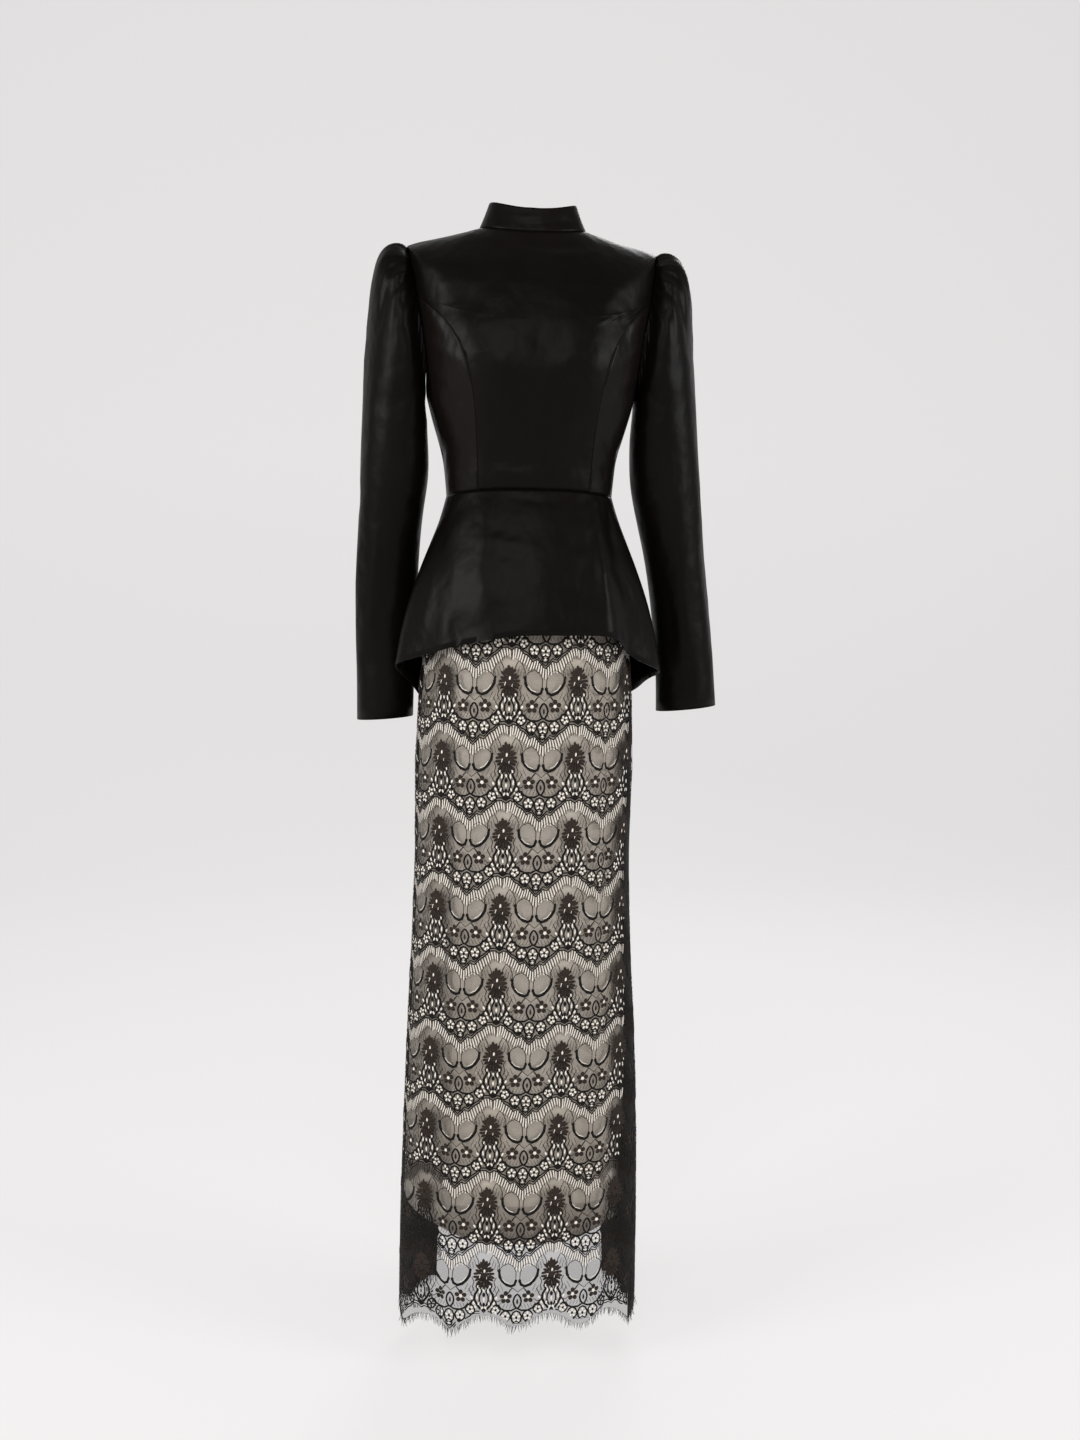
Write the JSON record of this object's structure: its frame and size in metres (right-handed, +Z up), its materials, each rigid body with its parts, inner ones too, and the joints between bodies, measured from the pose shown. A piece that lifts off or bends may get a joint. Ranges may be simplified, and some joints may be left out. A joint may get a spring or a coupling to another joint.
{
  "type": "tunic and skirt set",
  "caption": "Hollow worn set: fitted satin tunic with stand collar, princess seams, gathered sleeves and high-low peplum over a long lined lace skirt with scalloped hem.",
  "frame": {"origin": "Point between the shoulders at the root of the neck, on the body axis, where the wearer carries the tunic.", "axes": "+Z up, the front of the garment faces -Y, +X is the viewer's right (the wearer's left)."},
  "size_m": [0.486, 0.2659, 1.4839],
  "materials": {
    "satin": "smooth black satin with a soft sheen",
    "lace": "black corded lace on fine net",
    "lining": "champagne-grey lining satin",
    "zip_metal": "black enamelled zip slider"
  },
  "bodies": {
    "garment": {"front_centre": "satin", "side_front_left": "satin", "side_front_right": "satin", "back_left": "satin", "back_right": "satin", "collar": "satin", "sleeve_left": "satin", "sleeve_right": "satin", "peplum_front": "satin", "peplum_back_left": "satin", "peplum_back_right": "satin", "skirt_waistband": "lace", "lining_front": "lining", "lining_back": "lining", "lace_front": "lace", "lace_back_left": "lace", "lace_back_right": "lace", "fringe_front": "lace", "fringe_back_left": "lace", "fringe_back_right": "lace", "zip_slider": "zip_metal"},
    "pull_tab": {"zip_pull": "zip_metal"}
  },
  "joints": [
    {"name": "zip_pull_swing", "type": "hinge", "parent": "garment", "child": "pull_tab", "pos_m": [0, 0.0548, 0.03603], "axis": [1, 0, 0], "range_deg": [0, 120]}
  ]
}
